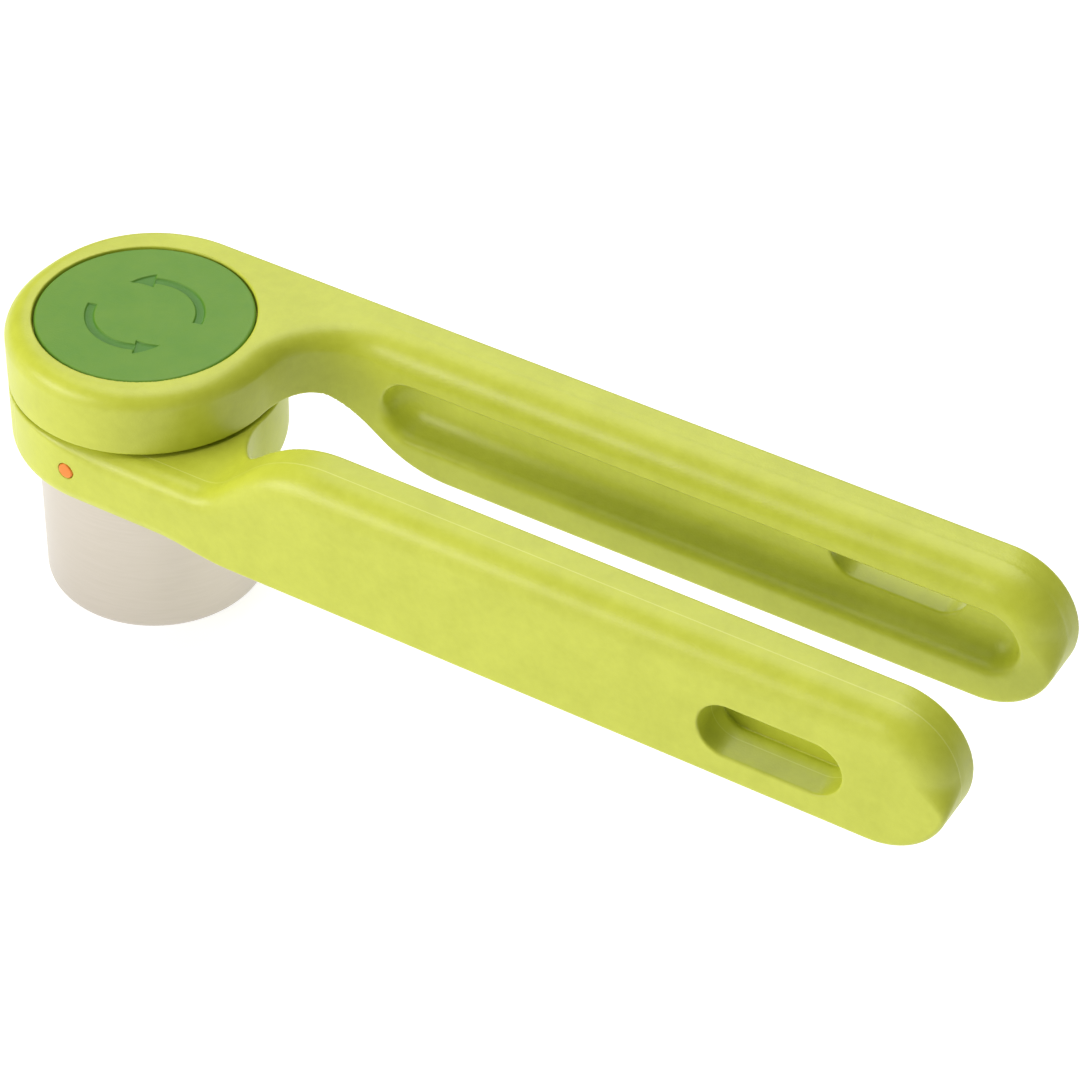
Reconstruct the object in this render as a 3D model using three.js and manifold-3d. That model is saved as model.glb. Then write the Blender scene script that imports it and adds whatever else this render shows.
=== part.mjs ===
// Twist-action garlic press: two nylon handle mouldings, a steel cup and a threaded plunger.
// Millimetres, +Z up. The origin is the centre of the cup's base, on the axis that the upper
// half turns about. The bars run along +X; the upper bar is at +Y, the lower bar at -Y.
import * as THREE from 'three';
import { mergeVertices } from 'three/addons/utils/BufferGeometryUtils.js';
import Module from 'manifold-3d';

const wasm = await Module();
wasm.setup();

// Driving dimensions
const GAP = 0.3; // clearance between neighbouring pieces
const TOP = 58.2; // upper face of the head and of both bars
const BAR_BOTTOM = 30.9; // underside of both bars and of the lower head
const SPLIT = 45.5; // underside of the upper head
const FLOOR = 44.8; // upper face of the lower head
const HEAD_R = 25.4;
const BAR_INNER = 15.35; // distance of the bars' facing walls from the axis plane
const TIP_X = 174.6;
const EDGE = 2; // edge rounding of the mouldings
const NECK_R = 15; // hollow corner between the head and the bar, seen from above
const LEAD = 40; // rise of the thread in one turn
const STARTS = 4;
const TWIST_LIMIT = 110; // degrees from closed to where the thread lets go

// Derived dimensions
const BAR_H = TOP - BAR_BOTTOM;
const BAR_MID = (TOP + BAR_BOTTOM) / 2;
const TIP_R = BAR_H / 2;
const TIP_CENTRE = TIP_X - TIP_R;
const BAR_W = HEAD_R - BAR_INNER;

const RECESS = { start: 40.7, end: 167.7, half: 6.3 };
const SLOT = { start: 128.8, end: 155.6, half: 5.4 };
const UPPER_GRIP = { depth: 5.6, recessZ: 44.2, slotZ: 47 };
const LOWER_GRIP = { depth: 3.6, recessZ: 44.9, slotZ: 41.6 };
const CAP = { r: 20, top: 58, thick: 1.7 };
const THREAD = { root: 21.2, crest: 22.6, bottom: 36.7, angle: 40 };
const CUP = { r: 20.9, wall: 0.6, base: 0.8, flangeR: 22.5, flangeTop: 34.3 };
const TUBE_R = 19.9; // plunger tube, outside
const BORE_R = 17.9; // plunger tube, inside
const HOLE_PITCH = 3.7; // perforation of the cup's base, in rings that leave the middle whole
const HOLE_R = 0.9;
const WEB = { bottom: 47, top: 50.5 }; // floor of the upper head, which the plunger screws to
const FOOT = { bottom: 1.3, top: 4.3, bore: 2.3 };
const WASHER = 0.6;
const HUB_SCREW_CIRCLE = 13.5;
const DOT = { r: 1.45, length: 2, proud: 0.15, low: 38.6, high: 50.5, angle: -91 };

const LIME = { color: 0xc3d64f, roughness: 0.5, metalness: 0 };
const GREEN = { color: 0x6fae3c, roughness: 0.5, metalness: 0 };
const ORANGE = { color: 0xf68a33, roughness: 0.5, metalness: 0 };
const WHITE = { color: 0xe8e8e2, roughness: 0.55, metalness: 0 };
const STEEL = { color: 0xcfcbc4, roughness: 0.35, metalness: 1 };

const rad = THREE.MathUtils.degToRad;
const v2 = (x, y) => new THREE.Vector2(x, y);

// Solids

function solid(geometry) {
  const bare = geometry.index ? geometry.toNonIndexed() : geometry.clone();
  bare.deleteAttribute('normal');
  bare.deleteAttribute('uv');
  const merged = mergeVertices(bare, 1e-5);
  return new wasm.Manifold(new wasm.Mesh({
    numProp: 3,
    vertProperties: new Float32Array(merged.attributes.position.array),
    triVerts: new Uint32Array(merged.index.array),
  }));
}

function geometryOf(manifold) {
  const mesh = manifold.getMesh();
  const geometry = new THREE.BufferGeometry();
  geometry.setAttribute('position', new THREE.BufferAttribute(mesh.vertProperties, 3));
  geometry.setIndex(new THREE.BufferAttribute(mesh.triVerts, 1));
  return geometry;
}

// Turns a profile of [radius, height] pairs about the vertical axis.
function turned(profile, segments = 48) {
  const points = profile.map(([r, z]) => v2(r, z));
  return solid(new THREE.LatheGeometry(points, segments).rotateX(Math.PI / 2));
}

function disc(r, low, high, segments = 20) {
  return turned([[0, low], [r, low], [r, high], [0, high]], segments);
}

function ring(inner, outer, low, high, segments = 48) {
  return turned([[inner, low], [outer, low], [outer, high], [inner, high], [inner, low]], segments);
}

// Extrudes a plan outline upwards from low to high.
function upright(shape, low, high, options = {}) {
  const settings = { depth: high - low, bevelEnabled: false, curveSegments: 12, ...options };
  const geometry = new THREE.ExtrudeGeometry(shape, settings);
  return geometry.translate(0, 0, low);
}

// Extrudes a side outline, drawn in x and z, along +Y from near to far, with rounded edges
// of the given radius. The outline keeps its size at the middle of the piece.
function sideways(shape, near, far, round = 0) {
  const geometry = new THREE.ExtrudeGeometry(shape, {
    depth: far - near - 2 * round,
    bevelEnabled: round > 0,
    bevelThickness: round,
    bevelSize: round,
    bevelOffset: -round,
    bevelSegments: 2,
    curveSegments: 8,
  });
  return geometry.rotateX(Math.PI / 2).translate(0, far - round, 0);
}

function stadium(start, end, middle, half) {
  const shape = new THREE.Shape();
  shape.moveTo(start + half, middle - half);
  shape.lineTo(end - half, middle - half);
  shape.absarc(end - half, middle, half, -Math.PI / 2, Math.PI / 2);
  shape.lineTo(start + half, middle + half);
  shape.absarc(start + half, middle, half, Math.PI / 2, 1.5 * Math.PI);
  return shape;
}

function repeated(count, radius, make) {
  return Array.from({ length: count }, (_, i) => {
    const angle = rad(45 + (i * 360) / count);
    return make(radius * Math.cos(angle), radius * Math.sin(angle));
  });
}

// Screw thread: a plan outline with one lobe for each start, twisted as it rises by the lead.
// play widens the lobes and enlarges both radii, for the matching female thread.
function threadCore(low, high, play) {
  const points = [];
  const half = THREAD.angle / 2 + (play * 360) / LEAD;
  const flank = 2;
  for (let start = 0; start < STARTS; start += 1) {
    const middle = (start * 360) / STARTS;
    const corner = (angle, r) => points.push(v2(r * Math.cos(rad(angle)), r * Math.sin(rad(angle))));
    for (let i = 0; i <= 4; i += 1) corner(middle - half + (2 * half * i) / 4, THREAD.crest + play);
    const valley = 360 / STARTS - 2 * half - 2 * flank;
    for (let i = 0; i <= 4; i += 1) corner(middle + half + flank + (valley * i) / 4, THREAD.root + play);
  }
  const geometry = upright(new THREE.Shape(points), low, high, { steps: 8 });
  const position = geometry.attributes.position;
  const axis = new THREE.Vector3(0, 0, 1);
  const point = new THREE.Vector3();
  for (let i = 0; i < position.count; i += 1) {
    point.fromBufferAttribute(position, i);
    point.applyAxisAngle(axis, (2 * Math.PI * (point.z - THREAD.bottom)) / LEAD);
    position.setXYZ(i, point.x, point.y, point.z);
  }
  return solid(geometry);
}

// Handle mouldings. Both are made from one bar with a ramp and a neck, drawn on the +Y side.
// The lower handle mirrors it in y. The upper one mirrors it in z, so its ramp is an arch.

// Side outline: flat bottom, round tip, flat top, then the S-shaped ramp down to the floor.
function rampedSide(floor) {
  const shape = new THREE.Shape();
  shape.moveTo(0, BAR_BOTTOM);
  shape.lineTo(TIP_CENTRE, BAR_BOTTOM);
  shape.absarc(TIP_CENTRE, BAR_MID, TIP_R, -Math.PI / 2, Math.PI / 2);
  shape.lineTo(57, TOP);
  shape.bezierCurveTo(45, TOP, 41.5, 56.4, 36.6, 51.6);
  shape.lineTo(31.6, 46.9);
  shape.bezierCurveTo(29.8, 45.2, 28.6, floor, 25.6, floor);
  shape.lineTo(0, floor);
  return shape;
}

// Plan of the neck: the hollow corner that joins the head to the bar's facing wall.
function neckPlan() {
  const centreY = BAR_INNER - NECK_R;
  const centreX = Math.sqrt((HEAD_R + NECK_R) ** 2 - centreY ** 2);
  const touch = Math.atan2(-centreY, -centreX);
  const shape = new THREE.Shape();
  shape.moveTo(centreX, BAR_INNER);
  shape.lineTo(centreX, BAR_INNER + BAR_W / 2);
  shape.lineTo(HEAD_R / 2, BAR_INNER + BAR_W / 2);
  shape.lineTo(HEAD_R / 2, 0);
  shape.absarc(centreX, centreY, NECK_R, touch + 2 * Math.PI, Math.PI / 2, true);
  return shape;
}

// The bar with its ramp and neck, on the +Y side.
function barAndNeck(floor) {
  const side = rampedSide(floor);
  const bar = solid(sideways(side, BAR_INNER, HEAD_R, EDGE));
  const slab = solid(sideways(side, -HEAD_R, HEAD_R));
  return bar.add(solid(upright(neckPlan(), BAR_BOTTOM, TOP)).intersect(slab));
}

function recessAndSlot(grip) {
  const back = BAR_INNER + grip.depth;
  const recess = stadium(RECESS.start, RECESS.end, grip.recessZ, RECESS.half);
  const slot = stadium(SLOT.start, SLOT.end, grip.slotZ, SLOT.half);
  const pocket = solid(sideways(recess, BAR_INNER - 8, back, EDGE));
  return pocket.add(solid(sideways(slot, back - EDGE, HEAD_R + 1)));
}

function headDisc(low, high, roundLow, roundHigh) {
  const profile = [[0, low]];
  const arc = (cz, r, from) => {
    for (let i = 0; i <= 3; i += 1) {
      const angle = rad(from + (90 * i) / 3);
      profile.push([HEAD_R - r + r * Math.cos(angle), cz + r * Math.sin(angle)]);
    }
  };
  if (roundLow > 0) arc(low + roundLow, roundLow, -90);
  else profile.push([HEAD_R, low]);
  if (roundHigh > 0) arc(high - roundHigh, roundHigh, 0);
  else profile.push([HEAD_R, high]);
  profile.push([0, high]);
  return turned(profile, 72);
}

function dotHole(angle, z, r, depth) {
  const hole = new THREE.CylinderGeometry(r, r, depth, 16).rotateZ(Math.PI / 2);
  return solid(hole.translate(HEAD_R + DOT.proud - depth / 2, 0, z).rotateZ(rad(angle)));
}

function upperHandle() {
  const floor = TOP + BAR_BOTTOM - SPLIT;
  const bar = barAndNeck(floor).mirror([0, 0, 1]).translate([0, 0, TOP + BAR_BOTTOM]);
  const holes = repeated(4, HUB_SCREW_CIRCLE, (x, y) => disc(1.9, SPLIT, TOP, 12).translate([x, y, 0]));
  const bored = [
    disc(CAP.r + GAP, CAP.top - CAP.thick - GAP, TOP + 1, 64),
    disc(18.9, WEB.top, TOP + 1, 32),
    disc(TUBE_R + 0.9, SPLIT - 1, WEB.bottom, 48),
    ...holes,
    dotHole(DOT.angle - TWIST_LIMIT, DOT.high, DOT.r + GAP, DOT.length + DOT.proud + GAP),
    recessAndSlot(UPPER_GRIP),
  ];
  return bored.reduce((body, cut) => body.subtract(cut), headDisc(SPLIT, TOP, 0, 3).add(bar));
}

function lowerHandle() {
  const bar = barAndNeck(FLOOR).mirror([0, 1, 0]);
  const ledge = CUP.flangeTop - CUP.wall - GAP;
  const bored = [
    disc(CUP.r + GAP, BAR_BOTTOM - 1, FLOOR, 48),
    disc(CUP.flangeR + GAP, ledge, THREAD.bottom - GAP, 48),
    threadCore(THREAD.bottom - 1, FLOOR + 1, GAP),
    dotHole(DOT.angle, DOT.low, DOT.r + GAP, DOT.length + DOT.proud + GAP),
    recessAndSlot(LOWER_GRIP).mirror([0, 1, 0]),
  ];
  return bored.reduce((body, cut) => body.subtract(cut), headDisc(BAR_BOTTOM, FLOOR, 3.5, 0).add(bar));
}

// Cup

function cup() {
  const { r, wall, base, flangeR, flangeTop } = CUP;
  const corner = 2.5;
  const outer = [];
  for (let i = 0; i <= 4; i += 1) {
    const angle = rad(-90 + (90 * i) / 4);
    outer.push([r - corner + corner * Math.cos(angle), corner + corner * Math.sin(angle)]);
  }
  const inner = r - wall;
  const shell = turned([
    [0, 0], ...outer, [r, flangeTop - wall], [flangeR, flangeTop - wall], [flangeR, flangeTop],
    [inner, flangeTop], [inner, base + 1.2], [inner - 0.4, base + 0.4], [inner - 1.2, base], [0, base],
  ]);
  const pierce = (x, y) => disc(HOLE_R, -1, base + 1, 6).translate([x, y, 0]);
  const holes = [1, 2, 3, 4].flatMap((row) => repeated(6 * row, row * HOLE_PITCH, pierce));
  return holes.reduce((body, hole) => body.subtract(hole), shell);
}

// Plunger: a flange let into the upper head, the male thread, and a tube that fits the cup.
function plunger() {
  const tubeEnd = FOOT.top + 2 * GAP + WASHER;
  const seat = WEB.bottom - GAP;
  const post = (x, y) => disc(4.9, THREAD.bottom, seat, 16).translate([x, y, 0]);
  const pilot = (x, y) => disc(1.8, THREAD.bottom + 1, TOP, 12).translate([x, y, 0]);
  const tube = ring(BORE_R, TUBE_R, tubeEnd, SPLIT).add(disc(TUBE_R, tubeEnd, tubeEnd + 2.5, 48));
  const thread = threadCore(THREAD.bottom, SPLIT - GAP, 0).subtract(disc(BORE_R, 0, TOP, 48));
  const flange = ring(BORE_R, TUBE_R + 0.6, SPLIT - GAP - 0.5, seat);
  const posts = repeated(4, HUB_SCREW_CIRCLE, post);
  const boss = disc(5, tubeEnd, 16);
  const pilots = repeated(4, HUB_SCREW_CIRCLE, pilot);
  const body = [thread, flange, boss, ...posts].reduce((whole, piece) => whole.add(piece), tube);
  return [disc(FOOT.bore, 0, 14, 16), ...pilots].reduce((whole, hole) => whole.subtract(hole), body);
}

function pressFoot() {
  const { bottom, top, bore } = FOOT;
  const chamfer = 0.8;
  const foot = turned([
    [0, bottom], [TUBE_R - chamfer, bottom], [TUBE_R, bottom + chamfer], [TUBE_R, top], [0, top],
  ]);
  return foot.subtract(disc(bore, 0, top + 1, 16)).subtract(disc(4.4, 0, bottom + 1.7));
}

function footScrew() {
  const head = disc(4.1, FOOT.bottom + 0.1, FOOT.bottom + 1.4);
  const socket = disc(1.4, 0, FOOT.bottom + 0.9, 6);
  return head.add(disc(FOOT.bore - GAP, FOOT.bottom + 1, 13.6, 16)).subtract(socket);
}

// Pan-head screw with a cross recess, driven down through the upper head's web.
function hubScrew(x, y) {
  const under = WEB.top + GAP;
  const head = turned([
    [0, under], [3, under], [3, under + 1.1], [2.3, under + 1.9], [0, under + 2.1],
  ], 16);
  const arm = new THREE.BoxGeometry(3, 0.7, 2.4).translate(0, 0, under + 2.1);
  const cross = solid(arm).add(solid(arm.clone().rotateZ(Math.PI / 2)));
  const shank = disc(1.5, THREAD.bottom + 1.5, under + 0.5, 12);
  return head.add(shank).subtract(cross).translate([x, y, 0]);
}

// Cap disc with a snap skirt. Two shallow curved arrows on its face show the twist.
function capDisc() {
  const low = CAP.top - CAP.thick;
  const plate = turned([
    [0, low], [CAP.r, low], [CAP.r, CAP.top - 0.4], [CAP.r - 0.4, CAP.top], [0, CAP.top],
  ], 64);
  const skirt = ring(17, 18.5, low - 3, low + 0.2, 32);
  const arrow = solid(upright(arrowShape(), CAP.top - 0.35, TOP));
  const arrows = [arrow, arrow.rotate([0, 0, 180])];
  return arrows.reduce((body, cut) => body.subtract(cut), plate.add(skirt));
}

// A curved arrow, seen from above.
function arrowShape() {
  const r = 10;
  const half = 0.8;
  const tail = rad(15);
  const neck = rad(115);
  const point = rad(140);
  const at = (radius, angle) => [radius * Math.cos(angle), radius * Math.sin(angle)];
  const shape = new THREE.Shape();
  shape.moveTo(...at(r + half, tail));
  shape.absarc(0, 0, r + half, tail, neck);
  shape.lineTo(...at(r + 3 * half, neck));
  shape.lineTo(...at(r, point));
  shape.lineTo(...at(r - 3 * half, neck));
  shape.lineTo(...at(r - half, neck));
  shape.absarc(0, 0, r - half, neck, tail, true);
  return shape;
}

// Assembly

const press = new THREE.Group();

function addPiece(name, manifold, look) {
  const mesh = new THREE.Mesh(geometryOf(manifold), new THREE.MeshStandardMaterial(look));
  mesh.name = name;
  press.add(mesh);
}

addPiece('upper_handle', upperHandle(), LIME);
addPiece('lower_handle', lowerHandle(), LIME);
addPiece('cap_disc', capDisc(), GREEN);
addPiece('plunger', plunger(), WHITE);
addPiece('press_foot', pressFoot(), WHITE);
addPiece('foot_washer', ring(FOOT.bore, 6, FOOT.top + GAP, FOOT.top + GAP + WASHER, 20), STEEL);
addPiece('foot_screw', footScrew(), STEEL);
addPiece('garlic_cup', cup(), STEEL);
const retainer = ring(CUP.r - 0.3, CUP.flangeR, CUP.flangeTop + GAP, THREAD.bottom - 2 * GAP);
addPiece('cup_retainer', retainer, STEEL);
addPiece('lower_dot', dotHole(DOT.angle, DOT.low, DOT.r, DOT.length), ORANGE);
addPiece('upper_dot', dotHole(DOT.angle - TWIST_LIMIT, DOT.high, DOT.r, DOT.length), ORANGE);
repeated(4, HUB_SCREW_CIRCLE, hubScrew).forEach((screw, i) => {
  addPiece(`plunger_screw_${i + 1}`, screw, STEEL);
});

export default press;
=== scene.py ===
"""Looks of the twist-action garlic press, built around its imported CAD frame.

Shapes are worked out in millimetres, in the frame's axes, and turned to metres when a mesh is
made. The two nylon mouldings are the zero surface of a distance field, meshed as whole arrays;
the other new pieces are turned or swept grids of two parameters.
"""

import math

import bmesh
import bpy
import numpy as np
from mathutils import Matrix, Vector


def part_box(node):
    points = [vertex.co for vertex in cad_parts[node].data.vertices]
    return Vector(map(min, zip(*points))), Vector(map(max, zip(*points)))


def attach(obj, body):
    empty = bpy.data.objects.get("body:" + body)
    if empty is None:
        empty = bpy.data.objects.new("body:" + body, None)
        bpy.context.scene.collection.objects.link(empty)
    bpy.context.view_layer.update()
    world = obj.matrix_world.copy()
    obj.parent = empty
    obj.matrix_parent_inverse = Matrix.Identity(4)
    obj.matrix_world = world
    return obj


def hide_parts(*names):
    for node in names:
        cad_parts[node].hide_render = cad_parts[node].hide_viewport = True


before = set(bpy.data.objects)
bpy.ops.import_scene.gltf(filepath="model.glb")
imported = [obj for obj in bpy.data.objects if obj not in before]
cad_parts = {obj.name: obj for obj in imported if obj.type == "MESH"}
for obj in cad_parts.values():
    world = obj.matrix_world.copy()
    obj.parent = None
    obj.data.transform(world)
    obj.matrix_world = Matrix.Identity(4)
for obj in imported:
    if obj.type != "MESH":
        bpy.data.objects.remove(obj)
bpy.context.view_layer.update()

MM = 0.001


def box_mm(node):
    """Lowest and highest corner of a CAD node, in millimetres."""
    low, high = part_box(node)
    return np.array(low) / MM, np.array(high) / MM


# ---------------------------------------------------------------- sizes from the frame

UPPER_LOW, UPPER_HIGH = box_mm("upper_handle")
CAP_HIGH = box_mm("cap_disc")[1]
CUP_HIGH = box_mm("garlic_cup")[1]
PLUNGER_LOW, PLUNGER_HIGH = box_mm("plunger")
FOOT_HIGH = box_mm("press_foot")[1]

TOP = UPPER_HIGH[2]
BAR_BOTTOM = UPPER_LOW[2]
BAR_MID = (TOP + BAR_BOTTOM) / 2
HEAD_R = -UPPER_LOW[0]
TIP_X = UPPER_HIGH[0]
TIP_R = (TOP - BAR_BOTTOM) / 2
CAP_R = CAP_HIGH[0]
CAP_TOP = CAP_HIGH[2]
FLANGE_R = CUP_HIGH[0]
FLANGE_TOP = CUP_HIGH[2]
THREAD_CREST = PLUNGER_HIGH[0]
PLUNGER_END = PLUNGER_LOW[2]
PLUNGER_TOP = PLUNGER_HIGH[2]
TUBE_R = FOOT_HIGH[0]

# Sizes that the frame's boxes don't give, in millimetres, as in the CAD
GAP = 0.3
SPLIT = 45.5
FLOOR = 44.8
BAR_INNER = 15.35
NECK_R = 15.0
CAP_THICK = 1.7
CUP_R = 20.9
CUP_WALL = 0.6
CUP_BASE = 0.8
HOLE_PITCH = 3.7
THREAD_ROOT = 21.2
THREAD_BOTTOM = 36.7
THREAD_LEAD = 40.0
THREAD_HALF = math.radians(20)
STARTS = 4
SPIGOT_R = TUBE_R + 0.6
BORE_R = 17.9
WEB_BOTTOM = 47.0
WEB_TOP = 50.5
SCREW_CIRCLE = 13.5
TWIST_LIMIT = math.radians(110)
DOT_ANGLE = math.radians(-91)
LOWER_DOT_Z = 38.6
UPPER_DOT_Z = 50.5

# The S-ramp: its straight slope is the CAD's, and two arcs stand for the CAD's freer curves
RAMP_SLOPE = math.radians(43.2)
RAMP_CREST_R = 24.4
RAMP_FOOT_R = 7.75
RAMP_FOOT_X = 26.3

# Start, end and half height of the grip trough and of the hanging slot. The trough is round at
# the back, where the CAD's recess is flat, so its sizes differ from the CAD's by up to 0.2 mm.
RECESS = (40.7, 167.6, 6.15)
SLOT = (128.8, 155.6, 5.4)
# The trough's depth and middle height, the slot's middle height and where the slot ends inside
UPPER_GRIP = (5.6, 44.15, 47.0, BAR_INNER + 4.2)
LOWER_GRIP = (3.4, 44.95, 41.55, BAR_INNER + 1.95)

# Round holes and plugs in place of the CAD's faceted ones, within 0.2 mm of their sizes
HOLE_R = 0.85
DOT_R = 1.5
DOT_PROUD = 0.12
DOT_LENGTH = 1.8
DOT_PLAY = 0.12
SOCKET_DEPTH = 2.0


# ---------------------------------------------------------------- camera

VIEW_AZIMUTH = math.radians(30.01)
VIEW_ELEVATION = math.radians(40.15)
VIEW_ROLL = math.radians(1.46)
VIEW_DISTANCE = 625.0
VIEW_TARGET = Vector((92.9, -16.5, TOP))
LENS = 124.3


def add_camera():
    """A long lens looking down on the press from the tips' side, slightly rolled."""
    back = Vector((
        math.sin(VIEW_AZIMUTH) * math.cos(VIEW_ELEVATION),
        -math.cos(VIEW_AZIMUTH) * math.cos(VIEW_ELEVATION),
        math.sin(VIEW_ELEVATION),
    ))
    right = Vector((math.cos(VIEW_AZIMUTH), math.sin(VIEW_AZIMUTH), 0))
    up = back.cross(right)
    rolled = right * math.cos(VIEW_ROLL) + up * math.sin(VIEW_ROLL)
    up = back.cross(rolled)
    data = bpy.data.cameras.new("camera")
    data.sensor_width = 36
    data.lens = LENS
    data.clip_start = 0.05
    data.clip_end = 20
    camera = bpy.data.objects.new("camera", data)
    place = (VIEW_TARGET + back * VIEW_DISTANCE) * MM
    turn = Matrix((rolled, up, back)).transposed().to_4x4()
    camera.matrix_world = Matrix.Translation(place) @ turn
    bpy.context.scene.collection.objects.link(camera)
    bpy.context.scene.camera = camera


add_camera()


# ---------------------------------------------------------------- meshes

def make_object(name, points, faces, smooth=True, normals=None):
    """A mesh object from an array of points in millimetres and an array of quads or triangles.

    normals, one for each point, shade it as the exact surface that the points lie on.
    """
    mesh = bpy.data.meshes.new(name)
    mesh.from_pydata((points * MM).tolist(), [], faces.tolist())
    mesh.update()
    if smooth:
        mesh.polygons.foreach_set("use_smooth", np.ones(len(mesh.polygons), bool))
    if normals is not None:
        mesh.normals_split_custom_set_from_vertices(normals.tolist())
    piece = bpy.data.objects.new(name, mesh)
    bpy.context.scene.collection.objects.link(piece)
    return piece


def vertices(piece):
    """The piece's points in millimetres."""
    flat = np.empty(len(piece.data.vertices) * 3)
    piece.data.vertices.foreach_get("co", flat)
    return flat.reshape(-1, 3) / MM


def weld(piece, reach=0.002):
    """Joins the points of a mesh that lie within reach millimetres and drops flat faces."""
    work = bmesh.new()
    work.from_mesh(piece.data)
    bmesh.ops.remove_doubles(work, verts=work.verts, dist=reach * MM)
    bmesh.ops.dissolve_degenerate(work, edges=work.edges, dist=reach * MM)
    bmesh.ops.recalc_face_normals(work, faces=work.faces)
    work.to_mesh(piece.data)
    work.free()
    piece.data.polygons.foreach_set("use_smooth", np.ones(len(piece.data.polygons), bool))
    return piece


def grid_faces(rows, columns, close_rows=False):
    """Quads of a grid of points whose rows are closed rings; the columns can close as well."""
    i = np.arange(rows if close_rows else rows - 1)[:, None]
    j = np.arange(columns)[None, :]
    i2, j2 = (i + 1) % rows, (j + 1) % columns
    quads = (i * columns + j, i * columns + j2, i2 * columns + j2, i2 * columns + j)
    return np.stack([np.broadcast_to(q, (i.size, j.size)) for q in quads], -1).reshape(-1, 4)


def smoothstep(low, high, value):
    """0 up to low, 1 from high, and a smooth S between them."""
    t = np.clip((value - low) / (high - low), 0, 1)
    return t * t * (3 - 2 * t)


def mix(a, b, t):
    """a where t is 0, b where t is 1, and their blend between."""
    return a + (b - a) * t


def rounded(profile, radii, steps=5):
    """A profile of (r, z) corners with each corner replaced by an arc of its radius.

    The arc touches both neighbouring edges at r / tan(half the corner's angle) from the corner.
    """
    points = []
    corners = np.array(profile, float)
    for i, corner in enumerate(corners):
        before, after = corners[i - 1], corners[(i + 1) % len(corners)]
        radius = radii[i]
        if radius == 0:
            points.append(corner)
            continue
        to_before = (before - corner) / np.linalg.norm(before - corner)
        to_after = (after - corner) / np.linalg.norm(after - corner)
        half = math.acos(np.clip(to_before @ to_after, -1, 1)) / 2
        middle = to_before + to_after
        centre = corner + middle / np.linalg.norm(middle) * radius / math.sin(half)
        start = corner + to_before * radius / math.tan(half) - centre
        end = corner + to_after * radius / math.tan(half) - centre
        sweep = math.pi - 2 * half
        for t in np.linspace(0, 1, steps + 1):
            share = (math.sin((1 - t) * sweep) * start + math.sin(t * sweep) * end) / math.sin(sweep)
            points.append(centre + share)
    return np.array(points)


def ring_angles(columns):
    """Equal steps once round the vertical axis."""
    return np.arange(columns) * 2 * math.pi / columns


# ---------------------------------------------------------------- distance fields

# Edge radii that the moulded seats, sockets and slots repeat
SEAT_EDGE = 0.3
SOCKET_EDGE = 0.15
SLOT_EDGE = 0.45

# Hidden pockets: the hollow under the cap, the screw holes (radius, middle height, half length)
# and the seat of the cup's flange (middle height, half height)
HOLLOW_R = 18.9
SCREW_HOLE = (1.9, 49.0, 3.0)
FLANGE_SEAT = (34.9, 1.5)


def cut_round(a, b, r):
    """Inside both a and b, with the convex edge between them rounded to radius r."""
    corner = np.hypot(np.maximum(r + a, 0), np.maximum(r + b, 0))
    return np.minimum(-r, np.maximum(a, b)) + corner


def stadium(x, z, start, end, middle, half):
    """Distance to a slot outline: the distance to its middle line less its half height."""
    along = np.clip(x, start + half, end - half)
    return np.hypot(x - along, z - middle) - half


def plan_field(x, y):
    """Distance to the plan outline: head circle, bar strip and the hollow corner between them."""
    head = np.hypot(x, y) - HEAD_R
    strip = np.where(x > 0, np.maximum(BAR_INNER - y, y - HEAD_R), 1e3)
    centre_y = BAR_INNER - NECK_R
    centre_x = math.sqrt((HEAD_R + NECK_R) ** 2 - centre_y ** 2)
    in_corner = (x > 0) & (x < centre_x) & (y > centre_y * x / centre_x)
    hollow = np.maximum(NECK_R - np.hypot(x - centre_x, y - centre_y), y - HEAD_R)
    return np.minimum(np.minimum(head, strip), np.where(in_corner, hollow, 1e3))


def side_field(x, z, floor):
    """Distance to the side outline: flat bottom, round tip, and a top that runs down the S-ramp.

    The ramp is a straight slope between a hollow arc that meets the floor and a crowned arc
    that meets the top; each point takes the distance to the piece whose sector it lies in.
    """
    slope = np.array([math.cos(RAMP_SLOPE), math.sin(RAMP_SLOPE)])
    normal = np.array([-slope[1], slope[0]])
    foot = np.array([RAMP_FOOT_X, floor + RAMP_FOOT_R])
    foot_end = foot - RAMP_FOOT_R * normal
    rise = (TOP - RAMP_CREST_R * (1 - math.cos(RAMP_SLOPE))) - foot_end[1]
    crest_start = foot_end + slope * rise / slope[1]
    crest = crest_start - RAMP_CREST_R * normal
    line = (x - foot_end[0]) * normal[0] + (z - foot_end[1]) * normal[1]
    past_foot = (x - foot[0]) * slope[0] + (z - foot[1]) * slope[1]
    past_crest = (x - crest[0]) * slope[0] + (z - crest[1]) * slope[1]
    hollow = RAMP_FOOT_R - np.hypot(x - foot[0], z - foot[1])
    crown = np.hypot(x - crest[0], z - crest[1]) - RAMP_CREST_R
    ramp = np.where(past_foot <= 0, hollow, np.where(past_crest > 0, crown, line))
    top = np.where(x >= crest[0], z - TOP, np.where(x <= foot[0], z - floor, ramp))
    tip = np.hypot(x - (TIP_X - TIP_R), z - BAR_MID) - TIP_R
    return np.where(x > TIP_X - TIP_R, tip, np.maximum(top, BAR_BOTTOM - z))


def grip_field(body, x, y, z, grip, lips):
    """body with the grip trough scooped from the facing wall and the hanging slot cut through.

    The trough's back is rounded over almost its whole depth; lips are the radii of its lower and
    upper edge.
    """
    depth, trough_z, slot_z, slot_end = grip
    trough = stadium(x, z, *RECESS[:2], trough_z, RECESS[2])
    trough = cut_round(trough, y - BAR_INNER - depth, depth * 0.97)
    body = cut_round(body, -trough, mix(*lips, smoothstep(trough_z - 4, trough_z + 4, z)))
    slot = np.maximum(stadium(x, z, *SLOT[:2], slot_z, SLOT[2]), slot_end - y)
    return cut_round(body, -slot, SLOT_EDGE)


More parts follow.
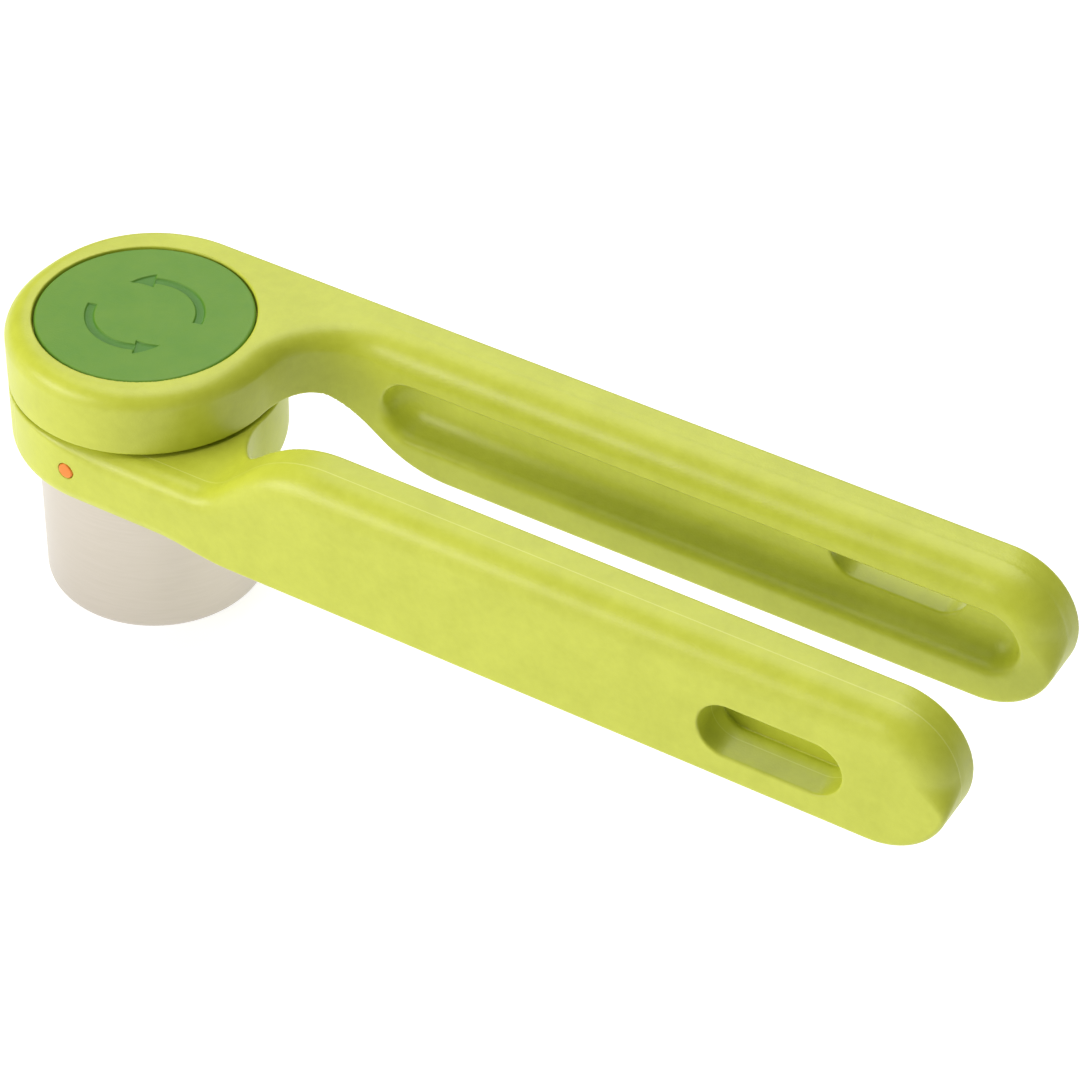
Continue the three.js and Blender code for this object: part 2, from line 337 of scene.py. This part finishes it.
def dot_socket(x, y, z, angle, height):
    """Distance to the round socket of an alignment dot, along a radius of the head."""
    across = -x * math.sin(angle) + y * math.cos(angle)
    outward = x * math.cos(angle) + y * math.sin(angle)
    return np.maximum(
        np.hypot(across, z - height) - DOT_R - DOT_PLAY, HEAD_R - SOCKET_DEPTH - outward)


def thread_radius(angle, z, play):
    """Radius of the thread: the root, with a lobe for each start that turns with the lead.

    play widens the lobes and the radius by as many millimetres, for the thread that receives it.
    """
    phase = (angle - 2 * math.pi * (z - THREAD_BOTTOM) / THREAD_LEAD) % (2 * math.pi / STARTS)
    off = np.minimum(phase, 2 * math.pi / STARTS - phase)
    half = THREAD_HALF + play * 2 * math.pi / THREAD_LEAD
    lobe = 1 - smoothstep(half - 0.01, half + 0.05, off)
    return mix(THREAD_ROOT, THREAD_CREST, lobe) + play


def upper_field(x, y, z):
    """The upper moulding: head with the cap's seat, neck with its arch, bar at +Y.

    The arch is the side outline's ramp turned upside down. The edges are almost sharp below and
    on the far side; the facing top edge is a soft round that grows from the head to the bar.
    """
    flipped = TOP + BAR_BOTTOM - z
    plan = plan_field(x, y)
    side = side_field(x, flipped, TOP + BAR_BOTTOM - SPLIT)
    middle = mix((SPLIT + TOP) / 2, BAR_MID, smoothstep(26, 50, x))
    far = mix(smoothstep(0, 24, y), smoothstep(20, 24.2, y), smoothstep(10, 30, x))
    low_edge = mix(0.45, 0.8, smoothstep(24, 44, x))
    high_edge = mix(mix(3.8, 6.2, smoothstep(20, 50, x)), 1.0, far)
    edge = mix(low_edge, high_edge, smoothstep(middle - 4, middle + 4, z))
    body = cut_round(plan, side, edge)
    body = grip_field(body, x, y, z, UPPER_GRIP, (2.0, 0.3))
    r = np.hypot(x, y)
    seat = np.maximum(r - CAP_R - GAP, CAP_TOP - CAP_THICK - GAP - z)
    body = cut_round(body, -seat, SEAT_EDGE)
    hollow = np.maximum(r - HOLLOW_R, WEB_TOP - z)
    spigot_seat = np.maximum(r - SPIGOT_R - GAP, z - WEB_BOTTOM)
    fold = np.abs(np.arctan2(y, x) % (math.pi / 2) - math.pi / 4)
    hole_r, hole_middle, hole_half = SCREW_HOLE
    screw = np.hypot(r * np.cos(fold) - SCREW_CIRCLE, r * np.sin(fold)) - hole_r
    holes = np.maximum(screw, np.abs(z - hole_middle) - hole_half)
    body = np.maximum(body, -np.minimum(np.minimum(hollow, spigot_seat), holes))
    socket = dot_socket(x, y, z, DOT_ANGLE - TWIST_LIMIT, UPPER_DOT_Z)
    return cut_round(body, -socket, SOCKET_EDGE)


def lower_field(x, y, z):
    """The lower moulding: threaded head with the cup's seat, floor, ramp, bar at -Y.

    The head's underside is a soft round that sharpens along the neck, and the outer top edge one
    that grows along the bar; the inner edge of the ramp stays almost sharp.
    """
    outer = -y
    plan = plan_field(x, outer)
    side = side_field(x, z, FLOOR)
    inner = smoothstep(8, 20, x) * (1 - smoothstep(17, 21, outer))
    middle = mix((BAR_BOTTOM + FLOOR) / 2, BAR_MID, smoothstep(26, 50, x))
    high_edge = mix(mix(0.7, 3.8, smoothstep(-10, 10, x)), 6.5, smoothstep(28, 55, x))
    high_edge = mix(high_edge, 0.8, inner)
    low_edge = mix(3.6, 0.9, smoothstep(18, 34, x))
    edge = mix(low_edge, high_edge, smoothstep(middle - 3, middle + 3, z))
    body = cut_round(plan, side, edge)
    body = grip_field(body, x, outer, z, LOWER_GRIP, (0.5, 0.9))
    r = np.hypot(x, y)
    thread = thread_radius(np.arctan2(y, x), z, GAP)
    seat_middle, seat_half = FLANGE_SEAT
    flange_seat = np.maximum(r - FLANGE_R - GAP, np.abs(z - seat_middle) - seat_half)
    threaded = np.maximum(r - thread, THREAD_BOTTOM - GAP - z)
    bore = np.minimum(np.minimum(r - CUP_R - GAP, flange_seat), threaded)
    body = cut_round(body, -bore, SEAT_EDGE)
    socket = dot_socket(x, y, z, DOT_ANGLE, LOWER_DOT_Z)
    return cut_round(body, -socket, SOCKET_EDGE)


# ---------------------------------------------------------------- meshing a field

STEP_ALONG = 0.55
STEP_ACROSS = 0.5
MARGIN = 1.3


def grid_lines(*spans):
    """Grid lines from (start, end, step) spans laid end to end."""
    lines = [np.linspace(a, b, max(2, round((b - a) / step) + 1))[:-1] for a, b, step in spans]
    return np.append(np.concatenate(lines), spans[-1][1])


def gradient(field, points, reach=0.02):
    """Central differences of the field at each point."""
    slopes = []
    for axis in range(3):
        step = np.zeros(3)
        step[axis] = reach
        ahead = field(*(points + step).T)
        behind = field(*(points - step).T)
        slopes.append((ahead - behind) / (2 * reach))
    return np.stack(slopes, -1)


def settle(field, points, most=0.4):
    """One Newton step of each point onto the zero surface, no longer than most."""
    value = field(*points.T)
    slope = gradient(field, points)
    step = -value[:, None] * slope / np.maximum((slope ** 2).sum(1), 0.2)[:, None]
    length = np.linalg.norm(step, axis=1, keepdims=True)
    return points + step * np.minimum(1, most / np.maximum(length, 1e-9))


def surface_nets(field, xs, ys, zs):
    """Points and quads of the field's zero surface on a grid with uneven lines.

    Every grid edge that the surface crosses gives a quad between the four cells round it, and
    every cell's point is the mean of the crossings on its edges.
    """
    grid = np.meshgrid(xs, ys, zs, indexing="ij")
    value = field(*grid)
    inside = value < 0
    lines = (xs, ys, zs)
    cells = tuple(n - 1 for n in value.shape)
    total = np.zeros(cells + (3,))
    count = np.zeros(cells, int)
    crossings = []
    for axis in range(3):
        near = [slice(None)] * 3
        far = [slice(None)] * 3
        near[axis], far[axis] = slice(0, -1), slice(1, None)
        near, far = tuple(near), tuple(far)
        crossed = inside[near] != inside[far]
        share = np.where(crossed, value[near] / np.where(crossed, value[near] - value[far], 1), 0)
        place = [g[near] for g in grid]
        place[axis] = place[axis] + share * (grid[axis][far] - place[axis])
        place = np.stack(place, -1)
        side_a, side_b = (axis + 1) % 3, (axis + 2) % 3
        for da in (0, 1):
            for db in (0, 1):
                pick = [slice(None)] * 3
                pick[side_a] = slice(da, cells[side_a] + da)
                pick[side_b] = slice(db, cells[side_b] + db)
                pick = tuple(pick)
                count += crossed[pick]
                total += np.where(crossed[pick][..., None], place[pick], 0)
        crossings.append((crossed, inside[near]))
    used = count > 0
    index = np.full(cells, -1)
    index[used] = np.arange(used.sum())
    points = total[used] / count[used][:, None]
    quads = []
    for axis, (crossed, leaving) in enumerate(crossings):
        side_a, side_b = (axis + 1) % 3, (axis + 2) % 3
        where = np.array(np.nonzero(crossed))
        keep = (where[side_a] > 0) & (where[side_b] > 0)
        keep &= (where[side_a] < cells[side_a]) & (where[side_b] < cells[side_b])
        where = where[:, keep]
        outward = leaving[tuple(where)]
        ring = []
        for da, db in ((-1, -1), (0, -1), (0, 0), (-1, 0)):
            cell = where.copy()
            cell[side_a] += da
            cell[side_b] += db
            ring.append(index[tuple(cell)])
        quad = np.stack(ring, -1)
        quads.append(np.where(outward[:, None], quad, quad[:, ::-1]))
    return points, np.concatenate(quads)


def relax(points, quads, field, rounds=5):
    """Evens out the points along the surface: each moves half way to its neighbours' mean,
    without leaving the surface, and is settled again."""
    ends = np.concatenate([quads[:, [0, 1]], quads[:, [1, 2]], quads[:, [2, 3]], quads[:, [3, 0]]])
    degree = np.bincount(ends.ravel(), minlength=len(points))
    for _ in range(rounds):
        mean = np.stack([
            np.bincount(ends[:, 0], points[ends[:, 1], k], len(points))
            + np.bincount(ends[:, 1], points[ends[:, 0], k], len(points))
            for k in range(3)
        ], -1) / degree[:, None]
        slope = gradient(field, points)
        slope /= np.maximum(np.linalg.norm(slope, axis=1, keepdims=True), 1e-6)
        shift = 0.5 * (mean - points)
        shift -= slope * (shift * slope).sum(1, keepdims=True)
        points = settle(field, points + shift)
    return points


def moulding(name, field, ys, zs):
    """A moulding's mesh: fine lines at the head, slot and tip, longer ones along the plain bar."""
    xs = grid_lines(
        (-HEAD_R - MARGIN, -3.5, STEP_ALONG), (-3.5, 3.5, STEP_ALONG * 0.6), (3.5, 58, STEP_ALONG),
        (58, 124, STEP_ALONG * 3), (124, TIP_X + MARGIN, STEP_ALONG * 1.1),
    )
    points, quads = surface_nets(field, xs, ys, zs)
    points = settle(field, settle(field, points))
    points = relax(points, quads, field)
    normals = gradient(field, points, 0.05)
    normals /= np.maximum(np.linalg.norm(normals, axis=1, keepdims=True), 1e-6)
    return make_object(name, points, quads, normals=normals)


def upper_moulding():
    """The upper half, with closer lines at the head's underside and the top edge."""
    step = STEP_ACROSS
    ys = grid_lines((-HEAD_R - MARGIN, HEAD_R + MARGIN, step))
    zs = grid_lines(
        (BAR_BOTTOM - MARGIN, SPLIT - 0.6, step), (SPLIT - 0.6, SPLIT + 0.9, step * 0.5),
        (SPLIT + 0.9, TOP - 3.6, step), (TOP - 3.6, TOP + 0.8, step * 0.6),
    )
    return moulding("upper_moulding", upper_field, ys, zs)


def lower_moulding():
    """The lower half, with closer lines at the bar's outer wall, the dot and the floor's edge."""
    step = STEP_ACROSS
    ys = grid_lines((-HEAD_R - MARGIN, -22.9, step * 0.6), (-22.9, HEAD_R + MARGIN, step))
    zs = grid_lines(
        (BAR_BOTTOM - MARGIN, 36.4, step), (36.4, 40.8, step * 0.6), (40.8, FLOOR - 1.2, step),
        (FLOOR - 1.2, FLOOR + 0.6, step * 0.5), (FLOOR + 0.6, TOP + MARGIN, step),
    )
    return moulding("lower_moulding", lower_field, ys, zs)


# ---------------------------------------------------------------- other pieces

CAP_RIM = 0.5
CAP_COLLAR = (18.5, 17.0, 3.0)

# The arrows' middle radius, half width of band and head, depth, and angles of tail, neck and point
MOTIF_R = 10.0
MOTIF_HALF = 0.8
MOTIF_HEAD_HALF = 1.9
MOTIF_DEPTH = 0.35
MOTIF_ANGLES = tuple(math.radians(a) for a in (15, 115, 140))


def motif_field(x, y):
    """Distance to two curved arrows that chase each other round the middle of the cap.

    The plane is folded by half a turn, so one arrow is drawn: an arc band, and a triangle whose
    edges are straight lines across the end of the arc.
    """
    angle = np.arctan2(y, x) % math.pi
    r = np.hypot(x, y)
    tail, neck, point = MOTIF_ANGLES
    over = np.maximum(tail - angle, angle - neck) * MOTIF_R
    band = np.maximum(np.abs(r - MOTIF_R) - MOTIF_HALF, over)
    length = (point - neck) * MOTIF_R
    along = (angle - neck) * MOTIF_R
    beside = np.abs(r - MOTIF_R) - MOTIF_HEAD_HALF * (1 - along / length)
    head = np.maximum(beside * length / math.hypot(length, MOTIF_HEAD_HALF), -along)
    return np.minimum(band, head)


def cap_face():
    """The cap: a polar grid whose height dips inside the motif, a rounded rim, a flat back and
    the collar that holds it in its seat (outer and inner radius and depth in CAP_COLLAR)."""
    columns = 720
    angle = ring_angles(columns)
    fine = np.linspace(MOTIF_R - 2.4, MOTIF_R + 2.4, 49)
    radii = np.concatenate([[0.02, 2, 4, 6], fine, np.linspace(13, CAP_R - CAP_RIM - 0.1, 8)])
    bend = np.linspace(0, math.pi / 2, 7)
    under = CAP_TOP - CAP_THICK
    collar_out, collar_in, collar_depth = CAP_COLLAR
    collar_end = under - collar_depth
    r = np.concatenate([
        radii, CAP_R - CAP_RIM + CAP_RIM * np.sin(bend),
        [CAP_R, CAP_R, collar_out, collar_out, collar_in, collar_in, 0.02],
    ])
    z = np.concatenate([
        np.full(len(radii), CAP_TOP), CAP_TOP - CAP_RIM * (1 - np.cos(bend)),
        [CAP_TOP - CAP_RIM - 0.3, under, under, collar_end, collar_end, under, under],
    ])
    x, y = r[:, None] * np.cos(angle), r[:, None] * np.sin(angle)
    height = np.broadcast_to(z[:, None], x.shape).copy()
    face = len(radii)
    dip = 1 - smoothstep(-0.14, 0.14, motif_field(x[:face], y[:face]))
    height[:face] -= MOTIF_DEPTH * dip
    points = np.stack([x, y, height], -1).reshape(-1, 3)
    quads = grid_faces(len(r), columns, close_rows=True)
    piece = weld(make_object("cap_face", points, quads), 0.02)
    at = vertices(piece)
    # Mask of the sunk motif, where painted shade darkens the cap's colour.
    sunk = (1 - smoothstep(-0.1, 0.15, motif_field(at[:, 0], at[:, 1]))) * (at[:, 2] > CAP_TOP - 1)
    piece.data.attributes.new("sunk", "FLOAT", "POINT").data.foreach_set("value", sunk)
    return piece


def dot_insert(name, angle, height):
    """An alignment dot: a turned plug with a rounded rim, laid along a radius of the head."""
    rim, columns = 0.35, 48
    bend = np.linspace(0, math.pi / 2, 7)[1:]
    r = np.concatenate([[0.01, DOT_R - rim], DOT_R - rim + rim * np.sin(bend), [DOT_R, 0.01]])
    out = np.concatenate([
        [DOT_PROUD, DOT_PROUD], DOT_PROUD - rim * (1 - np.cos(bend)), [-DOT_LENGTH, -DOT_LENGTH],
    ])
    turn = ring_angles(columns)
    across, up = r[:, None] * np.cos(turn), r[:, None] * np.sin(turn)
    reach = HEAD_R + out[:, None] + 0 * turn
    x = reach * math.cos(angle) - across * math.sin(angle)
    y = reach * math.sin(angle) + across * math.cos(angle)
    points = np.stack([x, y, up + height], -1).reshape(-1, 3)
    return weld(make_object(name, points, grid_faces(len(r), columns, close_rows=True)), 0.03)


PLATE_COLUMNS = 144
PLATE_ROWS = 4


def hole_cells(row, z_low, z_high):
    """The ring of cells round one row of holes.

    A cell is a sector of a ring; its outline is walked in equal angular steps along both arcs
    and the two radii, and joined to a circle with as many points. The same loops at both heights
    make the plate's two faces, and the circles make the hole's wall.
    """
    count = 6 * row
    arc_steps = PLATE_COLUMNS // count
    side_steps = 4
    half = math.pi / count
    r_in, r_out = (row - 0.5) * HOLE_PITCH, (row + 0.5) * HOLE_PITCH
    arc = np.linspace(-half, half, arc_steps + 1)
    side = np.linspace(r_in, r_out, side_steps + 1)
    angle = np.concatenate([
        arc[:-1], np.full(side_steps, half), arc[:0:-1], np.full(side_steps, -half),
    ])
    radius = np.concatenate([
        np.full(arc_steps, r_in), side[:-1], np.full(arc_steps, r_out), side[:0:-1],
    ])
    middle = row * HOLE_PITCH
    turn = np.arctan2(radius * np.sin(angle), radius * np.cos(angle) - middle)
    points, quads = [], []
    loops = len(angle)
    for cell in range(count):
        centre = math.pi / 4 + 2 * math.pi * cell / count
        spin = np.array([[math.cos(centre), math.sin(centre)], [-math.sin(centre), math.cos(centre)]])
        edge = np.stack([radius * np.cos(angle), radius * np.sin(angle)], -1) @ spin
        circle = np.stack([middle + HOLE_R * np.cos(turn), HOLE_R * np.sin(turn)], -1) @ spin
        stack = [(edge, z_low), (circle, z_low), (circle, z_high), (edge, z_high)]
        base = len(points) * loops
        points += [np.column_stack([loop, np.full(loops, z)]) for loop, z in stack]
        quads.append(grid_faces(4, loops) + base)
    return np.concatenate(points), np.concatenate(quads)


def cup_shell():
    """The drawn cup: a turned wall with a rolled flange, closed by a pierced base plate.

    The wall's profile has an edge radius for each corner. The plate has a whole hub in the middle
    and a ring of cells for each row of holes; welding joins the rings.
    """
    edge = (PLATE_ROWS + 0.5) * HOLE_PITCH
    inner = CUP_R - CUP_WALL
    wall = rounded(
        [(edge, 0), (CUP_R, 0), (CUP_R, FLANGE_TOP - CUP_WALL), (FLANGE_R, FLANGE_TOP - CUP_WALL),
         (FLANGE_R, FLANGE_TOP), (inner, FLANGE_TOP), (inner, CUP_BASE), (edge, CUP_BASE)],
        [0, 2.4, 0.25, 0.28, 0.28, 0.9, 1.6, 0], steps=8,
    )
    columns = PLATE_COLUMNS
    angle = math.pi / 4 + ring_angles(columns)
    r, z = wall[:, :1], wall[:, 1:]
    parts = [np.stack([r * np.cos(angle), r * np.sin(angle), z + 0 * angle], -1).reshape(-1, 3)]
    quads = [grid_faces(len(wall), columns)]
    hub_r = np.array([[0.01], [HOLE_PITCH / 4], [HOLE_PITCH / 2]])
    hub_x, hub_y = hub_r * np.cos(angle), hub_r * np.sin(angle)
    for height in (0, CUP_BASE):
        quads.append(grid_faces(len(hub_r), columns) + sum(map(len, parts)))
        parts.append(np.stack([hub_x, hub_y, np.full_like(hub_x, height)], -1).reshape(-1, 3))
    for row in range(1, PLATE_ROWS + 1):
        points, faces = hole_cells(row, 0, CUP_BASE)
        quads.append(faces + sum(map(len, parts)))
        parts.append(points)
    return weld(make_object("cup_shell", np.concatenate(parts), np.concatenate(quads)), 0.02)


# Inside the plunger: where its bore ends, and the boss that takes the foot's screw
BORE_END = 12.0
BOSS_R = 5.0
BOSS_FOOT = 9.0
BOSS_TOP = 16.0
PILOT_R = 2.3


def plunger_shell():
    """The plunger: a turned closed profile whose radius follows the thread along the hub."""
    columns, thread_rows = 320, 40
    low, high = THREAD_BOTTOM, SPLIT - GAP
    bottom = rounded([(PILOT_R, PLUNGER_END), (TUBE_R, PLUNGER_END), (TUBE_R, low)], [0, 1.0, 0])
    threaded = np.column_stack([
        np.full(thread_rows, THREAD_ROOT), np.linspace(low, high, thread_rows),
    ])
    top = np.array([
        (SPIGOT_R, high), (SPIGOT_R, PLUNGER_TOP), (BORE_R, PLUNGER_TOP), (BORE_R, BORE_END),
        (BOSS_R, BOSS_FOOT), (BOSS_R, BOSS_TOP), (PILOT_R, BOSS_TOP),
    ])
    profile = np.concatenate([bottom, threaded, top])
    angle = ring_angles(columns)
    r = np.broadcast_to(profile[:, :1], (len(profile), columns)).copy()
    z = np.broadcast_to(profile[:, 1:], r.shape)
    rows = slice(len(bottom), len(bottom) + len(threaded))
    ends = smoothstep(low, low + 0.5, z[rows]) * (1 - smoothstep(high - 0.5, high, z[rows]))
    r[rows] = mix(THREAD_ROOT, thread_radius(angle, z[rows], 0), ends)
    points = np.stack([r * np.cos(angle), r * np.sin(angle), z], -1).reshape(-1, 3)
    quads = grid_faces(len(profile), columns, close_rows=True)
    return weld(make_object("plunger_shell", points, quads))


# ---------------------------------------------------------------- materials

def linear(hex_colour):
    """An sRGB hex colour as linear RGBA."""
    value = hex_colour.lstrip("#")
    channels = [int(value[i:i + 2], 16) / 255 for i in (0, 2, 4)]
    return [c / 12.92 if c <= 0.04045 else ((c + 0.055) / 1.055) ** 2.4 for c in channels] + [1]


def add(tree, kind, inputs=None, **settings):
    """Adds a node, sets its properties, and fills its inputs with values or links."""
    item = tree.nodes.new("ShaderNode" + kind)
    for name, value in settings.items():
        setattr(item, name, value)
    for name, value in (inputs or {}).items():
        if isinstance(value, bpy.types.NodeSocket):
            tree.links.new(value, item.inputs[name])
        else:
            item.inputs[name].default_value = value
    return item


def new_material(name):
    """An empty node material with its Principled shader and the object's own coordinates."""
    material = bpy.data.materials.new(name)
    material.use_nodes = True
    tree = material.node_tree
    tree.nodes.clear()
    shader = add(tree, "BsdfPrincipled")
    output = add(tree, "OutputMaterial")
    tree.links.new(shader.outputs[0], output.inputs[0])
    place = add(tree, "TexCoord").outputs["Object"]
    return material, tree, shader, place


def per_metre(size_mm):
    """Noise scale for a feature of this size."""
    return 1 / (size_mm * MM)


def ramp(tree, factor, stops):
    """A colour ramp with (position, hex colour) stops."""
    item = add(tree, "ValToRGB", {"Fac": factor})
    elements = item.color_ramp.elements
    while len(elements) < len(stops):
        elements.new(0.5)
    for element, (position, colour) in zip(elements, stops):
        element.position = position
        element.color = linear(colour)
    return item.outputs["Color"]


def moulded_nylon(name, dark, light, rough=0.4, parting_y=None):
    """Injection-moulded nylon with a fine spark-eroded skin.

    The pigment clouds slightly over about 7 mm, and the eroded tool leaves a 0.4 mm grain
    (drawn coarser than the real 0.1 mm so that it shows) that breaks highlights into a satin
    sheen. Where the tool halves met, a thin raised ridge runs along parting_y; the light it
    catches is a painted highlight, a pale line in the colour.
    """
    material, tree, shader, place = new_material(name)
    cloud = add(tree, "TexNoise", {"Vector": place, "Scale": per_metre(7), "Detail": 3.0})
    grain = add(tree, "TexNoise", {"Vector": place, "Scale": per_metre(0.4), "Detail": 2.0})
    speckle = add(tree, "TexNoise", {"Vector": place, "Scale": per_metre(1.6), "Detail": 2.0})
    tint = add(tree, "Mix", {"Factor": 0.35, 2: cloud.outputs["Fac"], 3: speckle.outputs["Fac"]})
    colour = ramp(tree, tint.outputs[0], [(0.35, dark), (0.65, light)])
    if parting_y is not None:
        split = add(tree, "SeparateXYZ", {"Vector": place})
        off = add(tree, "Math", {0: split.outputs["Y"], 1: parting_y * MM}, operation="SUBTRACT")
        near = add(tree, "Math", {0: off.outputs[0]}, operation="ABSOLUTE")
        # Painted highlight: a pale line of colour along the parting ridge, standing in for the light
        # the raised ridge catches.
        line = add(tree, "MapRange", {
            "Value": near.outputs[0], "From Min": 0.04 * MM, "From Max": 0.16 * MM,
            "To Min": 0.4, "To Max": 0.0,
        }, interpolation_type="SMOOTHSTEP")
        ridge_highlight = add(tree, "Mix", {"Factor": line.outputs[0], 6: colour, 7: linear("#e3e98a")},
                      data_type="RGBA")
        colour = ridge_highlight.outputs[2]
    rough_map = add(tree, "MapRange", {
        "Value": speckle.outputs["Fac"], "To Min": rough - 0.06, "To Max": rough + 0.06})
    bump = add(tree, "Bump", {
        "Height": grain.outputs["Fac"], "Strength": 0.35, "Distance": 0.1 * MM})
    tree.links.new(colour, shader.inputs["Base Color"])
    tree.links.new(rough_map.outputs[0], shader.inputs["Roughness"])
    tree.links.new(bump.outputs[0], shader.inputs["Normal"])
    shader.inputs["IOR"].default_value = 1.53
    return material


def paint_motif_shade(material):
    """Paints shade into the sunk motif: its colour is pulled three quarters of the way to dark green,
    so it reads as a recess in shadow.
    """
    tree = material.node_tree
    shader = tree.nodes["Principled BSDF"]
    colour = shader.inputs["Base Color"].links[0].from_socket
    sunk = add(tree, "Attribute", attribute_name="sunk").outputs["Fac"]
    share = add(tree, "Math", {0: sunk, 1: 0.75}, operation="MULTIPLY").outputs[0]
    # Painted shade: the sunk motif's colour is blended toward dark green #3f7a1c.
    deep = add(tree, "Mix", {"Factor": share, 6: colour, 7: linear("#3f7a1c")}, data_type="RGBA")
    tree.links.new(deep.outputs[2], shader.inputs["Base Color"])


def drawn_stainless():
    """Deep-drawn stainless steel, spun to a satin finish.

    Spinning leaves fine lines round the wall (drawn 0.5 mm apart, coarser than real, so that
    they show), so reflections are soft and spread up and down.
    """
    material, tree, shader, place = new_material("drawn_stainless_satin")
    shader.inputs["Metallic"].default_value = 1.0
    stretch = add(tree, "Mapping", {"Vector": place, "Scale": (0.08, 0.08, 1.0)})
    lines = add(tree, "TexNoise", {
        "Vector": stretch.outputs[0], "Scale": per_metre(0.5), "Detail": 3.0})
    colour = ramp(tree, lines.outputs["Fac"], [(0.3, "#c5bdb2"), (0.7, "#c9c1b7")])
    rough = add(tree, "MapRange", {"Value": lines.outputs["Fac"], "To Min": 0.28, "To Max": 0.38})
    bump = add(tree, "Bump", {
        "Height": lines.outputs["Fac"], "Strength": 0.06, "Distance": 0.05 * MM})
    tree.links.new(colour, shader.inputs["Base Color"])
    tree.links.new(rough.outputs[0], shader.inputs["Roughness"])
    tree.links.new(bump.outputs[0], shader.inputs["Normal"])
    return material


def turned_steel():
    """Plain stainless hardware, turned and tumbled: bright, with a fine grit of 0.5 mm, drawn
    coarser than real, that dulls the reflections in spots."""
    material, tree, shader, place = new_material("turned_stainless_hardware")
    shader.inputs["Metallic"].default_value = 1.0
    grit = add(tree, "TexNoise", {"Vector": place, "Scale": per_metre(0.5), "Detail": 2.0})
    colour = ramp(tree, grit.outputs["Fac"], [(0.3, "#bdbab5"), (0.7, "#cfccc7")])
    rough = add(tree, "MapRange", {"Value": grit.outputs["Fac"], "To Min": 0.25, "To Max": 0.4})
    tree.links.new(colour, shader.inputs["Base Color"])
    tree.links.new(rough.outputs[0], shader.inputs["Roughness"])
    return material


def floor_paper():
    """Matt white paper with a barely visible tooth, lit through so that shadows stay faint."""
    material, tree, shader, place = new_material("white_background_paper")
    tooth = add(tree, "TexNoise", {"Vector": place, "Scale": per_metre(3), "Detail": 2.0})
    colour = ramp(tree, tooth.outputs["Fac"], [(0.3, "#bbbbba"), (0.7, "#bdbdbc")])
    tree.links.new(colour, shader.inputs["Base Color"])
    shader.inputs["Roughness"].default_value = 0.9
    shader.inputs["Specular IOR Level"].default_value = 0.1
    shader.inputs["Emission Color"].default_value = (1, 1, 1, 1)
    shader.inputs["Emission Strength"].default_value = 0.8
    return material


# ---------------------------------------------------------------- assembly

PARTING_Y = (BAR_INNER + HEAD_R) / 2
lime_upper = moulded_nylon("lime_moulded_nylon_upper", "#bec53b", "#c7ce44")
lime_lower = moulded_nylon("lime_moulded_nylon_lower", "#bec53b", "#c7ce44", parting_y=-PARTING_Y)
green = moulded_nylon("leaf_green_moulded_nylon", "#5c8f1e", "#679424", rough=0.55)
# Painted shade in the cap's sunk motif.
paint_motif_shade(green)
orange = moulded_nylon("orange_moulded_nylon", "#ec7d1c", "#f08a26", rough=0.5)
white = moulded_nylon("natural_white_moulded_nylon", "#dcdcd4", "#e6e6df", rough=0.45)
steel = drawn_stainless()
hardware = turned_steel()


def place_piece(piece, node, body, material):
    """The piece stands for a CAD node, rides its body and takes a material."""
    piece.data.materials.append(material)
    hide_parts(node)
    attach(piece, body)


place_piece(upper_moulding(), "upper_handle", "upper", lime_upper)
place_piece(lower_moulding(), "lower_handle", "lower", lime_lower)
place_piece(cap_face(), "cap_disc", "upper", green)
place_piece(cup_shell(), "garlic_cup", "lower", steel)
place_piece(plunger_shell(), "plunger", "upper", white)
lower_dot = dot_insert("dot_insert_lower", DOT_ANGLE, LOWER_DOT_Z)
place_piece(lower_dot, "lower_dot", "lower", orange)
upper_dot = dot_insert("dot_insert_upper", DOT_ANGLE - TWIST_LIMIT, UPPER_DOT_Z)
place_piece(upper_dot, "upper_dot", "upper", orange)

CAD_FINISHES = {
    "press_foot": white,
    "foot_washer": hardware,
    "foot_screw": hardware,
    "cup_retainer": hardware,
    **{f"plunger_screw_{i}": hardware for i in range(1, 5)},
}
for node, material in CAD_FINISHES.items():
    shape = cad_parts[node]
    shape.data.materials.clear()
    shape.data.materials.append(material)


# ---------------------------------------------------------------- studio

FLOOR_HALF = 3000.0
LIGHT_TARGET = Vector((90, 0, 40))


def add_floor():
    """A wide flat floor under the cup."""
    corners = np.array([(-1, -1, 0), (1, -1, 0), (1, 1, 0), (-1, 1, 0)], float)
    points = corners * FLOOR_HALF
    floor = make_object("floor", points, np.array([[0, 1, 2, 3]]), smooth=False)
    floor.data.materials.append(floor_paper())


def add_softbox(name, towards, distance, width, height, power, colour):
    """A rectangular area light in direction towards from the middle of the bars, facing it."""
    data = bpy.data.lights.new(name, "AREA")
    data.shape = "RECTANGLE"
    data.size = width * MM
    data.size_y = height * MM
    data.energy = power
    data.color = colour
    light = bpy.data.objects.new(name, data)
    towards = Vector(towards).normalized()
    light.location = (LIGHT_TARGET + towards * distance) * MM
    light.rotation_euler = towards.to_track_quat("Z", "Y").to_euler()
    bpy.context.scene.collection.objects.link(light)


def add_studio():
    """Three softboxes, the front one low and a little warm, in a dim room."""
    world = bpy.data.worlds.new("studio")
    world.use_nodes = True
    world.node_tree.nodes["Background"].inputs["Color"].default_value = (0.9, 1.0, 0.92, 1)
    world.node_tree.nodes["Background"].inputs["Strength"].default_value = 0.1
    bpy.context.scene.world = world
    add_softbox("front", (-0.59, -0.74, 0.33), 1200, 900, 300, 9.0, (1.0, 0.965, 0.9))
    add_softbox("overhead", (-0.12, 0.12, 0.985), 1100, 1000, 1000, 10.0, (1.0, 0.99, 0.96))
    add_softbox("back", (-0.38, 0.66, 0.6), 1200, 700, 600, 3.0, (1.0, 1.0, 1.0))
    bpy.context.scene.view_settings.view_transform = "Standard"


add_floor()
add_studio()

bpy.context.view_layer.update()
